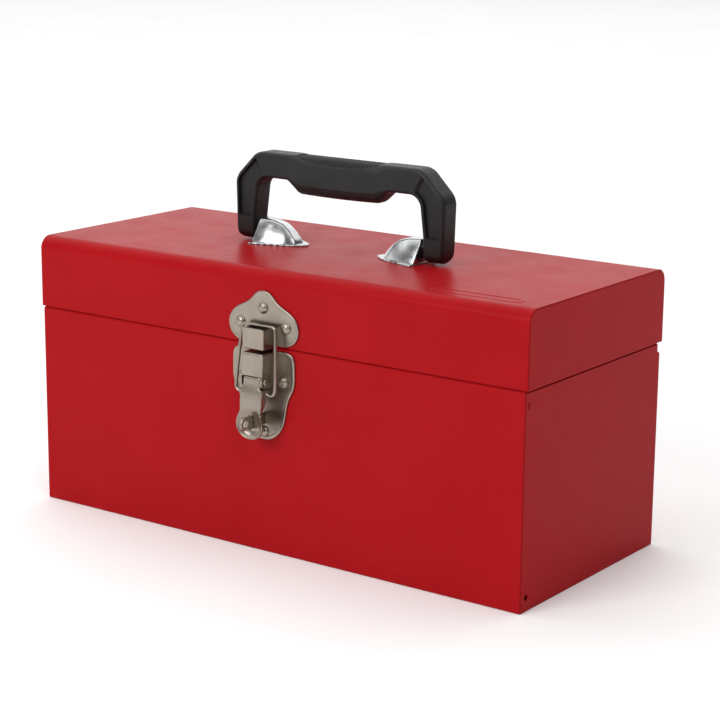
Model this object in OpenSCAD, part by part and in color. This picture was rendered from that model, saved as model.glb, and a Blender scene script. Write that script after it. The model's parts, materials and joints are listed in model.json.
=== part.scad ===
// Steel tool box with a hinged lid, a folding handle, a draw latch and a lift-out tray.
// Origin: centre of the bottom face. +X runs along the front to the right, +Y to the back, +Z up.

/* [Box] */
// Width across the lid's ends
lid_w = 406; // [380:1:440]
// Depth from front to back
depth = 173; // [165:1:190]
// Height from the bottom to the top of the lid
height = 193.5; // [190:0.5:210]
// Height of the seam between body and lid
seam_z = 142.8; // [142:0.1:144]
// Thickness of the sheet steel
sheet_t = 0.8; // [0.7:0.1:1]
// Outside bend radius of the lid's long top edges
lid_bend_r = 9; // [6:0.5:12]

/* [Hinge] */
// Radius of the hinge pin
hinge_pin_r = 1.2; // [1:0.1:1.5]
// Number of knuckles, counting both leaves
knuckle_count = 16; // [8:2:24]

/* [Handle] */
// Length of the handle along the box
handle_l = 176.4; // [165:0.1:180]
// Gap between the handle's legs
handle_gap = 143; // [142:0.5:146]
// Thickness of the handle's legs, front to back
handle_t = 17; // [14:0.5:18]
// Thickness of the grip, front to back
grip_t = 20; // [17:0.5:21]
// Height of the handle's top above the lid
handle_h = 64; // [58:0.5:66]
// Height of the handle's pivot above the lid
handle_pivot_h = 11.2; // [11:0.1:12]
// Radius of the handle's pivot pins
handle_pin_r = 2.5; // [2:0.1:3]

/* [Latch] */
// Width of the keeper's hook, the base's box and the lever
latch_w = 18; // [17:0.5:19]
// Thickness of the latch plates
plate_t = 1.5; // [1.2:0.1:1.8]
// Radius of the bail's wire
wire_r = 1.2; // [1:0.1:1.4]
// Angle of the bail's legs to the vertical
bail_tilt = 5.2; // [4:0.1:6]

/* [Tray] */
// Length of the tray
tray_l = 392; // [360:1:394]
// Depth of the tray, front to back
tray_d = 158; // [140:1:160]
// Height of the tray's walls
tray_h = 46; // [30:1:48]

/* [Hidden] */

// Enough segments for every round shape to count as a true circle
$fn = 48;
eps = 0.01;
paint = [0.62, 0.07, 0.09];
nickel = [0.66, 0.62, 0.57];
chrome = [0.82, 0.83, 0.85];
black = [0.06, 0.06, 0.065];
zinc = [0.6, 0.6, 0.62];

// Box
half_d = depth / 2;
end_overlap = 1.5;
body_w = lid_w - 2 * end_overlap;
wrap_inset = 0.3;
body_bend_r = 1.4;
lid_z0 = seam_z + 0.6;
shoulder_z = seam_z - 0.6;
lip_top_z = seam_z + 8.2;
lip_inset = 2.9;
joggle_h = 2.2;
end_flange = 12;
tool_slot_y = -half_d + 3.6;
tool_slot = [1.3, 5];
tool_hole_y = -half_d + 7;
tool_hole_z = 9.4;
tool_hole_r = 2;
lid_flange = 10;
lid_flange_z0 = lid_z0 + 3.6;

// Hinge: the knuckles are tangent to the inner faces of the back panels
hinge_clear = 0.06;
leaf_t = 1;
knuckle_r = hinge_pin_r + hinge_clear + leaf_t;
hinge_y = half_d - sheet_t - knuckle_r;
hinge_z = seam_z - 3.8;
hinge_half_l = 188;
knuckle_l = 2 * hinge_half_l / knuckle_count;
knuckle_gap = 0.4;
leaf_h = 16;
leaf_relief = knuckle_r + 1.3;
back_top_z = hinge_z - 3.8;

// Handle, measured from its pivot axis where it turns
pivot_z = height + handle_pivot_h;
leg_round_r = 10;
leg_taper = 1.2;
handle_top_z = height + handle_h;
handle_chamfer = 19;
opening_top_z = handle_top_z - 17.8;
opening_taper = 2.5;
opening_taper_z = pivot_z + 6;
opening_corner_r = 9.5;
grip_bottom_z = handle_top_z - 27.6;
grip_half_l = 33;
grip_slope = 9;
pin_end_x = 80.5;
pin_head_r = 3.6;
pin_head_h = 1.5;
pin_press = 0.03;

// Handle brackets, given for the right one and mirrored for the left
hood_x = 68.6;
hood_t = 1.2;
hood_wall = 1.8;
hood_h = 17.2;
hood_mid_x = 49.5;
hood_mid_h = 13.8;
hood_toe_x = 36.5;
hood_toe_h = 3;
flange_t = 1.2;
tab_x = 58;
tab_y = 6;
tab_w = 8;
tab_t = 1.4;
tab_slot_gap = 0.2;
backing_t = 1.2;
backing_half_l = 76;
backing_half_w = 17;

// Latch: its plates lie on the front faces
front_y = -half_d;
plate_y = front_y - plate_t;
latch_wall = 1.2;
latch_front_y = plate_y - 12.5;
lever_y = plate_y - 9;
lever_z = seam_z - 21.8;
bail_y = lever_y + 0.5;
bail_z = lever_z - 7.4;
latch_pin_r = 1.5;
running = 0.06;
bail_leg_l = 44.1;
bail_half = 14.6;
bar_z = bail_z + bail_leg_l * cos(bail_tilt);
ledge_z = bar_z - wire_r - 0.35;
hook_lip = 0.7;
hook_floor_z = seam_z + 0.7;
ear_r = 4.2;
rivet_r = 2;
rivet_head_r = 4;
rivet_head_h = 2;
rivet_tail_r = 3.4;
rivet_tail_h = 1;
keeper_rivet_at = [[0, seam_z + 25.7], [-19, seam_z + 14.2], [19, seam_z + 14.2]];
base_rivet_at = [[-16.8, seam_z - 22.3], [16.8, seam_z - 22.3], [0, seam_z - 58.2]];
staple_t = 2.4;
staple_z = seam_z - 49.2;
staple_eye_y = plate_y - 19.9;
staple_eye_r = 2.6;
staple_r = 5;

// Tray
tray_t = 0.7;
rest_z = 92;
tray_gap = 0.3;
tray_z = rest_z + tray_gap;
rest_reach = 9;
rest_half_l = 62;
rest_t = 1;
rest_drop = 14;
tray_rim_t = 0.8;
tray_rim_h = 6;
strap_w = 22;
strap_t = 1.5;
strap_top_z = tray_z + tray_h + 24;
divider_x = 70;
divider_h = tray_h - 12;
divider_foot = 9;
strap_foot = 22;
strap_run = 22;
tray_rivet_r = 1.8;
tray_rivet_x = 6;
tray_rivet_z = tray_z + tray_h - 14;
tray_rivet_head_r = 3;

// Extrudes a profile drawn in (Y, Z) along X, from x0 to x1
module along_x(x0, x1) {
    translate([x0, 0, 0]) rotate([90, 0, 90]) linear_extrude(x1 - x0) children();
}

// Extrudes an outline drawn in (X, Z) towards the front, from y0 to y1
module along_y(y0, y1) {
    translate([0, y1, 0]) rotate([90, 0, 0]) linear_extrude(y1 - y0) children();
}

// Cylinder along X, centred on (y, z)
module rod_x(x0, x1, y, z, r) {
    translate([x0, y, z]) rotate([0, 90, 0]) cylinder(r = r, h = x1 - x0);
}

// A (Y, Z) rectangle with its two upper corners rounded
module arch(half, z0, z1, r) {
    translate([-half, z0]) square([2 * half, z1 - z0 - r]);
    translate([-half + r, z1 - 2 * r]) square([2 * (half - r), 2 * r]);
    for (s = [-1, 1]) translate([s * (half - r), z1 - r]) circle(r);
}

// Shank holes for a set of (X, Z) rivet positions
module rivet_holes(places) {
    for (p = places) {
        translate([p[0], front_y + 5, p[1]]) rotate([90, 0, 0]) cylinder(r = rivet_r, h = 12);
    }
}

// Domed rivets that hold a latch plate on its sheet
module dome_rivets(places) {
    dome_r = (pow(rivet_head_r, 2) + pow(rivet_head_h, 2)) / (2 * rivet_head_h);
    for (p = places) translate([p[0], 0, p[1]]) {
        translate([0, front_y + sheet_t, 0]) rotate([90, 0, 0]) cylinder(r = rivet_r, h = sheet_t + plate_t);
        translate([0, front_y + sheet_t + rivet_tail_h, 0]) rotate([90, 0, 0]) {
            cylinder(r = rivet_tail_r, h = rivet_tail_h);
        }
        intersection() {
            translate([0, plate_y - rivet_head_h + dome_r, 0]) sphere(dome_r);
            translate([0, plate_y, 0]) rotate([90, 0, 0]) cylinder(r = rivet_head_r, h = rivet_head_h + 1);
        }
    }
}

// Quarter bend about (y, z) in five points, from angle a onwards
function bend(y, z, r, a) = [for (i = [0:4]) [y + r * cos(a + 22.5 * i), z + r * sin(a + 22.5 * i)]];

// Path of the body's sheet from the front lip to the back panel's top edge, t inside its outer face
function body_path(t) = concat(
    [[front_y + lip_inset + t, lip_top_z], [front_y + lip_inset + t, shoulder_z + joggle_h - t / 2],
        [front_y + t, shoulder_z - t / 2]],
    bend(front_y + body_bend_r, body_bend_r, body_bend_r - t, 180),
    bend(half_d - body_bend_r, body_bend_r, body_bend_r - t, 270),
    [[half_d - t, back_top_z]]);

function reversed(list) = [for (i = [len(list) - 1:-1:0]) list[i]];

module body_shell() {
    color(paint) difference() {
        along_x(-body_w / 2 + wrap_inset, body_w / 2 - wrap_inset) {
            polygon(concat(body_path(0), reversed(body_path(sheet_t))));
        }
        rivet_holes(base_rivet_at);
        // The lip stops short of the end panels' flanges
        for (s = [-1, 1]) translate([s * (body_w / 2) - 6, -depth, shoulder_z + 0.5]) cube([12, depth, 20]);
    }
}

// Right end panel of the body: a pan whose flanges lie inside the wrap
module body_end() {
    inner = half_d - sheet_t;
    color(paint) difference() {
        along_x(body_w / 2 - end_flange, body_w / 2) {
            polygon([[-inner, sheet_t], [inner, sheet_t], [inner, back_top_z], [inner - 3, back_top_z + 1.5],
                [inner - 3, lip_top_z], [-inner + 2.3, lip_top_z], [-inner + 2.3, shoulder_z + joggle_h],
                [-inner, shoulder_z]]);
        }
        along_x(body_w / 2 - end_flange - eps, body_w / 2 - sheet_t) {
            translate([-inner + sheet_t, 2 * sheet_t]) square([2 * (inner - sheet_t), height]);
        }
        // Above the back panel and above the shoulder only the flat plate goes on
        translate([0, 0, back_top_z]) cube([body_w / 2 - sheet_t, depth, height]);
        translate([0, -depth, shoulder_z - 1]) cube([body_w / 2 - sheet_t, depth, height]);
        // Tooling slot behind the front edge and a round hole near the bottom
        translate([body_w / 2 - 3, tool_slot_y, seam_z - 12]) cube([6, tool_slot[0], tool_slot[1]]);
        rod_x(body_w / 2 - 3, body_w / 2 + 3, tool_hole_y, tool_hole_z, tool_hole_r);
    }
}

module body_end_right() { body_end(); }

module body_end_left() { rotate([0, 0, 180]) mirror([0, 1, 0]) body_end(); }

// Angle on the right end panel that the tray rests on
module tray_rest() {
    x1 = body_w / 2 - sheet_t;
    color(paint) along_y(-rest_half_l, rest_half_l) {
        polygon([[x1 - rest_reach, rest_z], [x1, rest_z], [x1, rest_z - rest_drop],
            [x1 - rest_t, rest_z - rest_drop], [x1 - rest_t, rest_z - rest_t],
            [x1 - rest_reach, rest_z - rest_t]]);
    }
}

module tray_rest_right() { tray_rest(); }

module tray_rest_left() { mirror([1, 0, 0]) tray_rest(); }

// One hinge leaf: first is 0 or 1, the first knuckle it owns, and side is -1 down or 1 up
module hinge_leaf(first, side) {
    leaf_y = hinge_y + knuckle_r - leaf_t;
    leaf_z0 = side < 0 ? hinge_z - leaf_h : hinge_z + leaf_relief;
    difference() {
        union() {
            translate([-hinge_half_l, leaf_y, leaf_z0]) {
                cube([2 * hinge_half_l, leaf_t, leaf_h - leaf_relief]);
            }
            for (i = [first:2:knuckle_count - 1]) {
                x0 = -hinge_half_l + i * knuckle_l + knuckle_gap / 2;
                x1 = x0 + knuckle_l - knuckle_gap;
                rod_x(x0, x1, hinge_y, hinge_z, knuckle_r);
                translate([x0, leaf_y, side < 0 ? hinge_z - leaf_relief - eps : hinge_z]) {
                    cube([x1 - x0, leaf_t, leaf_relief + eps]);
                }
            }
        }
        rod_x(-hinge_half_l - 1, hinge_half_l + 1, hinge_y, hinge_z, hinge_pin_r + hinge_clear);
    }
}

module hinge_leaf_body() { color(paint) hinge_leaf(0, -1); }

module hinge_leaf_lid() { color(paint) hinge_leaf(1, 1); }

module hinge_pin() {
    color(zinc) rod_x(-hinge_half_l - 0.5, hinge_half_l + 0.5, hinge_y, hinge_z, hinge_pin_r);
}

// Slots in the lid and the backing plate for the brackets' clinched tabs
module tab_slots() {
    slot_w = tab_w + 2 * tab_slot_gap;
    slot_t = tab_t + 2 * tab_slot_gap;
    for (sx = [-1, 1], sy = [-1, 1]) {
        translate([sx * tab_x - slot_w / 2, sy * tab_y - slot_t / 2, height - 5]) cube([slot_w, slot_t, 10]);
    }
}

module lid_shell() {
    color(paint) difference() {
        along_x(-lid_w / 2 + wrap_inset, lid_w / 2 - wrap_inset) difference() {
            arch(half_d, lid_z0, height, lid_bend_r);
            arch(half_d - sheet_t, 0, height - sheet_t, lid_bend_r - sheet_t);
        }
        rivet_holes(keeper_rivet_at);
        tab_slots();
    }
}

// Right end panel of the lid: a pan whose flanges lie inside the lid's wrap
module lid_end() {
    color(paint) difference() {
        along_x(lid_w / 2 - lid_flange, lid_w / 2) {
            arch(half_d - sheet_t, lid_z0, height - sheet_t, lid_bend_r - sheet_t);
        }
        along_x(lid_w / 2 - lid_flange - eps, lid_w / 2 - sheet_t) {
            arch(half_d - 2 * sheet_t, 0, height - 2 * sheet_t, lid_bend_r - 2 * sheet_t);
        }
        translate([0, -depth, 0]) cube([lid_w / 2 - sheet_t, 2 * depth, lid_flange_z0]);
    }
}

module lid_end_right() { lid_end(); }

module lid_end_left() { mirror([1, 0, 0]) lid_end(); }

// Keeper: a lobed plate with a hook folded into a box that is open at the top
module keeper_plate() {
    lobe_z = seam_z + 14;
    lobe_r = 12.6;
    crown_z = seam_z + 29.7;
    crown_r = 7.5;
    color(nickel) difference() {
        union() {
            along_y(plate_y, front_y) {
                for (s = [-1, 1]) scale([s, 1]) {
                    polygon([[0, seam_z + 2.6], [22, seam_z + 2.6], [28.2, lobe_z + 4], [25, seam_z + 22.8],
                        [18.5, seam_z + 26.3], [10.6, seam_z + 30.4], [5.4, crown_z + 5.2], [0, crown_z + 5.2]]);
                }
                translate([0, crown_z]) circle(crown_r);
                for (s = [-1, 1]) translate([s * 16.4, lobe_z]) circle(lobe_r);
            }
            translate([-latch_w / 2, latch_front_y + 1, hook_floor_z]) {
                cube([latch_w, plate_y - latch_front_y - 1 + eps, ledge_z - hook_floor_z]);
            }
            translate([-latch_w / 2, latch_front_y + 1, hook_floor_z]) {
                cube([latch_w, latch_wall, ledge_z + hook_lip - hook_floor_z]);
            }
        }
        translate([-latch_w / 2 + latch_wall, latch_front_y + 1 + latch_wall, hook_floor_z + latch_wall]) {
            cube([latch_w - 2 * latch_wall, plate_y - latch_front_y - 1 - latch_wall, 30]);
        }
        rivet_holes(keeper_rivet_at);
    }
}

module keeper_rivets() { color(nickel) dome_rivets(keeper_rivet_at); }

// Base plate with a raised box and two ears that carry the lever's pin
module latch_base_plate() {
    box_bottom_z = lever_z + 3.8;
    box_top_z = seam_z - 2.4;
    color(nickel) difference() {
        union() {
            along_y(plate_y, front_y) {
                for (s = [-1, 1]) scale([s, 1]) {
                    polygon([[0, seam_z - 46], [17.5, seam_z - 46], [20.6, seam_z - 34], [23.8, seam_z - 28.2],
                        [25.8, seam_z - 22], [25.8, seam_z - 8], [19.8, seam_z - 2], [0, seam_z - 2]]);
                }
                translate([0, seam_z - 46.3]) circle(17.5);
                for (s = [-1, 1]) translate([s * 19.8, seam_z - 8]) circle(6);
                for (s = [-1, 1]) translate([s * 17.8, seam_z - 22]) circle(8);
            }
            translate([-latch_w / 2, latch_front_y, box_bottom_z]) {
                cube([latch_w, plate_y - latch_front_y + eps, box_top_z - box_bottom_z]);
            }
            for (s = [-1, 1]) translate([s * (latch_w / 2 - latch_wall / 2), 0, 0]) {
                rod_x(-latch_wall / 2, latch_wall / 2, lever_y, lever_z, ear_r);
                translate([-latch_wall / 2, lever_y, lever_z - ear_r]) {
                    cube([latch_wall, plate_y - lever_y + eps, ear_r + 5]);
                }
                translate([-latch_wall / 2, lever_y - ear_r + 0.7, lever_z + 1]) {
                    cube([latch_wall, ear_r, 4]);
                }
            }
        }
        translate([-latch_w / 2 + latch_wall, latch_front_y + latch_wall, box_bottom_z - 1]) {
            cube([latch_w - 2 * latch_wall, plate_y - latch_front_y - latch_wall,
                box_top_z - latch_wall - box_bottom_z + 1]);
        }
        rod_x(-latch_w, latch_w, lever_y, lever_z, latch_pin_r + running);
        rivet_holes(base_rivet_at);
        // Seat of the staple's foot
        translate([-staple_t / 2 - 0.05, plate_y - 1, staple_z - staple_r]) {
            cube([staple_t + 0.1, plate_t + 2, 2 * staple_r]);
        }
    }
}

module latch_base_rivets() { color(nickel) dome_rivets(base_rivet_at); }

// Padlock staple: a flat eye that stands through the lever's slot
module latch_staple() {
    color(nickel) difference() {
        along_x(-staple_t / 2, staple_t / 2) {
            translate([staple_eye_y + 0.4, staple_z - staple_r + 0.1]) {
                square([front_y - staple_eye_y - 0.4, 2 * staple_r - 0.2]);
            }
            translate([staple_eye_y + 0.4, staple_z]) circle(staple_r - 0.1);
        }
        rod_x(-latch_w, latch_w, staple_eye_y, staple_z, staple_eye_r);
    }
}

module latch_pivot_pin() {
    head_x = latch_w / 2 + 0.1;
    color(nickel) {
        rod_x(-head_x, head_x, lever_y, lever_z, latch_pin_r);
        for (s = [-1, 1]) rod_x(s * (head_x + 0.7) - 0.7, s * (head_x + 0.7) + 0.7, lever_y, lever_z, 2.6);
    }
}

// Lever: a channel with a narrow tongue between the ears and a spoon at its lower end
module latch_lever() {
    tongue = latch_w / 2 - latch_wall - 0.4;
    half = latch_w / 2;
    wall_top_z = bail_z + 2.5;
    neck_z = lever_z - 20;
    spoon_z = lever_z - 29;
    tip_z = lever_z - 38;
    face_y = latch_front_y - 0.1;
    color(nickel) difference() {
        union() {
            // Front sheet: its side profile crossed with its front outline
            intersection() {
                along_x(-half * 2, half * 2) {
                    polygon([[lever_y - 1.8, lever_z + 2.2], [face_y, lever_z + 0.5], [face_y - 2, neck_z],
                        [face_y - 2.8, neck_z - 4], [face_y - 4.9, tip_z + 3], [face_y - 4.7, tip_z - 1],
                        [face_y - 3.5, tip_z - 1], [face_y - 3.7, tip_z + 3], [face_y - 1.6, neck_z - 4],
                        [face_y - 0.8, neck_z], [face_y + 1.2, lever_z + 0.3], [lever_y - 1, lever_z + 1.2]]);
                }
                along_y(-half_d - 40, -half_d) {
                    translate([-tongue, wall_top_z - 1]) square([2 * tongue, lever_z - wall_top_z + 5]);
                    translate([-half, neck_z]) square([2 * half, wall_top_z - neck_z]);
                    translate([-half + 0.8, spoon_z]) square([2 * half - 1.6, neck_z - spoon_z + eps]);
                    translate([0, spoon_z]) circle(9);
                    for (s = [-1, 1]) translate([s * 4.5, spoon_z - 0.5]) circle(6.5);
                }
            }
            // Side walls of the channel
            for (s = [-1, 1]) translate([s * (half - latch_wall / 2), 0, 0]) {
                along_x(-latch_wall / 2, latch_wall / 2) {
                    polygon([[face_y + 0.4, wall_top_z], [face_y - 1.7, neck_z], [face_y + 1.5, neck_z],
                        [lever_y + 3.5, bail_z - 3], [lever_y + 3.5, wall_top_z]]);
                }
            }
            // Inner walls of the tongue, on the pin
            for (s = [-1, 1]) translate([s * (tongue - latch_wall / 2), 0, 0]) {
                along_x(-latch_wall / 2, latch_wall / 2) {
                    translate([lever_y, lever_z]) circle(2.8);
                    polygon([[face_y + 0.3, lever_z + 0.4], [lever_y + 2.6, lever_z],
                        [lever_y + 3.5, wall_top_z], [lever_y + 3.5, bail_z - 3], [face_y, bail_z - 3]]);
                }
            }
        }
        rod_x(-latch_w, latch_w, lever_y, lever_z, latch_pin_r + running);
        rod_x(-latch_w, latch_w, bail_y, bail_z, wire_r + running);
        translate([-staple_t / 2 - 0.6, face_y - 10, staple_z - staple_r - 1.2]) {
            cube([staple_t + 1.2, 12, 2 * staple_r + 1.9]);
        }
    }
}

// A quarter of a wire ring in the (X, Z) plane, from the +X side to the top, or turned by a
module wire_corner(a, r) {
    rotate([90, 0, 0]) rotate([0, 0, a]) rotate_extrude(angle = 90) translate([r, 0]) circle(wire_r);
}

// Bail: drawn upright from its pivot, then tilted back to the hook
module latch_bail() {
    corner = 2.6;
    end_x = latch_w / 2 - latch_wall - 0.6;
    color(nickel) translate([0, bail_y, bail_z]) rotate([-bail_tilt, 0, 0]) {
        rod_x(-bail_half + corner, bail_half - corner, 0, bail_leg_l, wire_r);
        for (s = [0, 1]) mirror([s, 0, 0]) {
            translate([bail_half - corner, 0, bail_leg_l - corner]) wire_corner(0, corner);
            translate([bail_half, 0, corner]) cylinder(r = wire_r, h = bail_leg_l - 2 * corner);
            translate([bail_half - corner, 0, corner]) wire_corner(-90, corner);
            rod_x(end_x, bail_half - corner, 0, 0, wire_r);
        }
    }
}

// One closed hood shape: a hull over three trapezoid stations, inset by t and standing on z0
module hood_solid(t, z0) {
    hull() {
        for (p = [[hood_x - (t > 0 ? hood_wall : 0), 15, 5, hood_h], [hood_mid_x, 12.6, 3.6, hood_mid_h],
            [hood_toe_x + t, 7, 1.8, hood_toe_h]]) {
            along_x(p[0] - eps, p[0]) {
                polygon([[-p[1] + t, z0], [p[1] - t, z0], [p[2] - t / 2, height + p[3] - t],
                    [-p[2] + t / 2, height + p[3] - t]]);
            }
        }
    }
}

// Right handle bracket: a faceted hood on a scalloped flange, with clinched tabs below
module handle_bracket() {
    scallops = 6;
    color(chrome) difference() {
        union() {
            hood_solid(0, height);
            difference() {
                translate([0, 0, height]) linear_extrude(flange_t) {
                    polygon([[hood_x, -19], [hood_x, 19], [64, 18.8], [55, 15.8], [41, 11.2], [33, 5],
                        [33, -5], [41, -11.2], [55, -15.8], [64, -18.8]]);
                    translate([36.6, 0]) circle(6.1);
                }
                for (i = [0:scallops - 1], s = [-1, 1]) {
                    translate([40.5 + i * 4.6, s * (11.8 + i * 1.52), height - 1]) {
                        cylinder(r = 1, h = 4, $fn = 16);
                    }
                }
            }
            for (s = [-1, 1]) {
                translate([tab_x - tab_w / 2, s * tab_y - tab_t / 2, height - sheet_t - backing_t - hood_t]) {
                    cube([tab_w, tab_t, sheet_t + backing_t + 1.5 * hood_t]);
                    translate([0, s > 0 ? 0 : tab_t - 4, 0]) cube([tab_w, 4, hood_t]);
                }
            }
        }
        hood_solid(hood_t, height + flange_t);
        translate([0, 0, pivot_z]) rotate([0, 90, 0]) cylinder(r = handle_pin_r + running, h = 100);
    }
}

module handle_bracket_right() { handle_bracket(); }

module handle_bracket_left() { mirror([1, 0, 0]) handle_bracket(); }

module handle_backing_plate() {
    color(zinc) difference() {
        translate([-backing_half_l, -backing_half_w, height - sheet_t - backing_t]) {
            cube([2 * backing_half_l, 2 * backing_half_w, backing_t]);
        }
        tab_slots();
    }
}

// Handle: a bridge on two legs, with a deeper and thicker grip in the middle
module handle_grip() {
    half = handle_l / 2;
    gap = handle_gap / 2;
    top_half = gap - opening_taper;
    leg_z0 = pivot_z - leg_round_r;
    color(black) difference() {
        intersection() {
            union() {
                along_y(-handle_t / 2, handle_t / 2) difference() {
                    polygon([[-half + leg_taper, leg_z0], [half - leg_taper, leg_z0],
                        [half, handle_top_z - handle_chamfer],
                        [half - handle_chamfer, handle_top_z], [-half + handle_chamfer, handle_top_z],
                        [-half, handle_top_z - handle_chamfer]]);
                    polygon([[-gap, 0], [gap, 0], [gap, opening_taper_z],
                        [top_half, opening_top_z - opening_corner_r],
                        [-top_half, opening_top_z - opening_corner_r], [-gap, opening_taper_z]]);
                    translate([-top_half + opening_corner_r, 0]) {
                        square([2 * (top_half - opening_corner_r), opening_top_z]);
                    }
                    for (s = [-1, 1]) {
                        translate([s * (top_half - opening_corner_r), opening_top_z - opening_corner_r]) {
                            circle(opening_corner_r);
                        }
                    }
                }
                along_y(-grip_t / 2, grip_t / 2) {
                    polygon([[-grip_half_l, grip_bottom_z], [grip_half_l, grip_bottom_z],
                        [grip_half_l + grip_slope, opening_top_z + 0.5],
                        [grip_half_l + grip_slope, handle_top_z - 4], [grip_half_l, handle_top_z - 1],
                        [-grip_half_l, handle_top_z - 1], [-grip_half_l - grip_slope, handle_top_z - 4],
                        [-grip_half_l - grip_slope, opening_top_z + 0.5]]);
                }
            }
            // The leg ends are rounded about the pivot, so they clear the lid as they turn
            union() {
                rod_x(-half - 1, half + 1, 0, pivot_z, leg_round_r);
                translate([-half - 1, -handle_t, pivot_z]) cube([handle_l + 2, 2 * handle_t, handle_h]);
            }
        }
        for (s = [-1, 1]) {
            hole_mid = s * (gap + pin_end_x) / 2;
            hole_half = (pin_end_x - gap) / 2 + 0.1;
            rod_x(hole_mid - hole_half, hole_mid + hole_half, 0, pivot_z, handle_pin_r + pin_press);
        }
    }
}

// Right pivot pin: pressed into the leg, turning in the bracket, with a head inside the hood
module handle_pin() {
    head_x = hood_x - hood_wall - 0.3;
    color(zinc) {
        rod_x(head_x, pin_end_x, 0, pivot_z, handle_pin_r);
        rod_x(head_x - pin_head_h, head_x, 0, pivot_z, pin_head_r);
    }
}

module handle_pin_right() { handle_pin(); }

module handle_pin_left() { mirror([1, 0, 0]) handle_pin(); }

module tray_pan() {
    color(paint) difference() {
        union() {
            translate([-tray_l / 2, -tray_d / 2, tray_z]) cube([tray_l, tray_d, tray_h]);
            translate([-tray_l / 2 - tray_rim_t, -tray_d / 2 - tray_rim_t, tray_z + tray_h - tray_rim_h]) {
                cube([tray_l + 2 * tray_rim_t, tray_d + 2 * tray_rim_t, tray_rim_h]);
            }
        }
        translate([-tray_l / 2 + tray_t, -tray_d / 2 + tray_t, tray_z + tray_t]) {
            cube([tray_l - 2 * tray_t, tray_d - 2 * tray_t, tray_h]);
        }
        tray_rivet_holes();
    }
}

// Four rivets hold the strap's feet on the tray's front and back walls
module tray_rivet_holes() {
    for (x = [-tray_rivet_x, tray_rivet_x]) {
        translate([x, tray_d, tray_rivet_z]) rotate([90, 0, 0]) cylinder(r = tray_rivet_r, h = 2 * tray_d);
    }
}

module tray_strap() {
    rim_z = tray_z + tray_h;
    foot_z = rim_z - strap_foot;
    inner = tray_d / 2 - tray_t;
    bend_y = inner - strap_run;
    under_y = bend_y - strap_t / 2;
    under_z = strap_top_z - strap_t;
    color(paint) difference() {
        along_x(-strap_w / 2, strap_w / 2) polygon([[-inner, foot_z], [-inner, rim_z],
            [-bend_y, strap_top_z], [bend_y, strap_top_z], [inner, rim_z], [inner, foot_z],
            [inner - strap_t, foot_z], [inner - strap_t, rim_z - strap_t / 3], [under_y, under_z],
            [-under_y, under_z], [-inner + strap_t, rim_z - strap_t / 3], [-inner + strap_t, foot_z]]);
        tray_rivet_holes();
    }
}

module tray_rivets() {
    wall_y = tray_d / 2;
    joint_t = tray_t + strap_t;
    color(zinc) for (x = [-tray_rivet_x, tray_rivet_x], s = [-1, 1]) translate([x, 0, tray_rivet_z]) {
        rotate([s * 90, 0, 0]) {
            translate([0, 0, wall_y - joint_t]) cylinder(r = tray_rivet_r, h = joint_t);
            translate([0, 0, wall_y]) cylinder(r = tray_rivet_head_r, h = 1);
            translate([0, 0, wall_y - joint_t - 1]) cylinder(r = tray_rivet_head_r, h = 1);
        }
    }
}

// Two cross walls, each folded from an angle with its foot on the tray's floor
module tray_dividers() {
    half_y = tray_d / 2 - tray_t - 0.2;
    floor_z = tray_z + tray_t;
    color(paint) for (s = [-1, 1]) {
        translate([s * divider_x - sheet_t / 2, -half_y, floor_z]) cube([sheet_t, 2 * half_y, divider_h]);
        translate([s > 0 ? divider_x : -divider_x - divider_foot, -half_y, floor_z]) {
            cube([divider_foot, 2 * half_y, sheet_t]);
        }
    }
}

body_shell();
body_end_left();
body_end_right();
tray_rest_left();
tray_rest_right();
hinge_leaf_body();
hinge_pin();
latch_base_plate();
latch_base_rivets();
latch_staple();
latch_pivot_pin();
lid_shell();
lid_end_left();
lid_end_right();
hinge_leaf_lid();
keeper_plate();
keeper_rivets();
handle_bracket_left();
handle_bracket_right();
handle_backing_plate();
handle_grip();
handle_pin_left();
handle_pin_right();
latch_lever();
latch_bail();
tray_pan();
tray_strap();
tray_dividers();
tray_rivets();
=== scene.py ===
import json
import math

import bmesh
import bpy
from mathutils import Matrix, Vector, noise


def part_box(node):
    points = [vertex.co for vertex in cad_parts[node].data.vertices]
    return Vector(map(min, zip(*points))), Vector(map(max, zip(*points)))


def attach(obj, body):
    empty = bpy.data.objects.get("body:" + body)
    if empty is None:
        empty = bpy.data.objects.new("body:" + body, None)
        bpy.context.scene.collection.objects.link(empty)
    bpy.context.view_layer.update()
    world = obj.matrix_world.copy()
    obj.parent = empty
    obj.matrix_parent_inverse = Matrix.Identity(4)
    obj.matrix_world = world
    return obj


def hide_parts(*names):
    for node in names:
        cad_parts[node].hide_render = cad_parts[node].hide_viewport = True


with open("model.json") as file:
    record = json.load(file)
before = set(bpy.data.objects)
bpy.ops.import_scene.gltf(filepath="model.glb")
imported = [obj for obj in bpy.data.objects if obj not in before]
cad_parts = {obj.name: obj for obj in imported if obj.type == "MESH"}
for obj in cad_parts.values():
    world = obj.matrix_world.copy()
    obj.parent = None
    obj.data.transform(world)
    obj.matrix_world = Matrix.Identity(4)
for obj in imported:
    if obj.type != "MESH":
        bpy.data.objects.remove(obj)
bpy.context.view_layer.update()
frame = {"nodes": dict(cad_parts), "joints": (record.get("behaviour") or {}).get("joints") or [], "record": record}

MM = 0.001
scene = bpy.context.scene


# ---------------------------------------------------------------- sizes in millimetres, from the frame
def joint_at(name):
    """Where a joint turns."""
    return Vector(next(j["pos_m"] for j in frame["joints"] if j["name"] == name)) / MM


def corners(node):
    """The lowest and the highest corner of a CAD node."""
    return [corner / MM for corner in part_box(node)]


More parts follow.
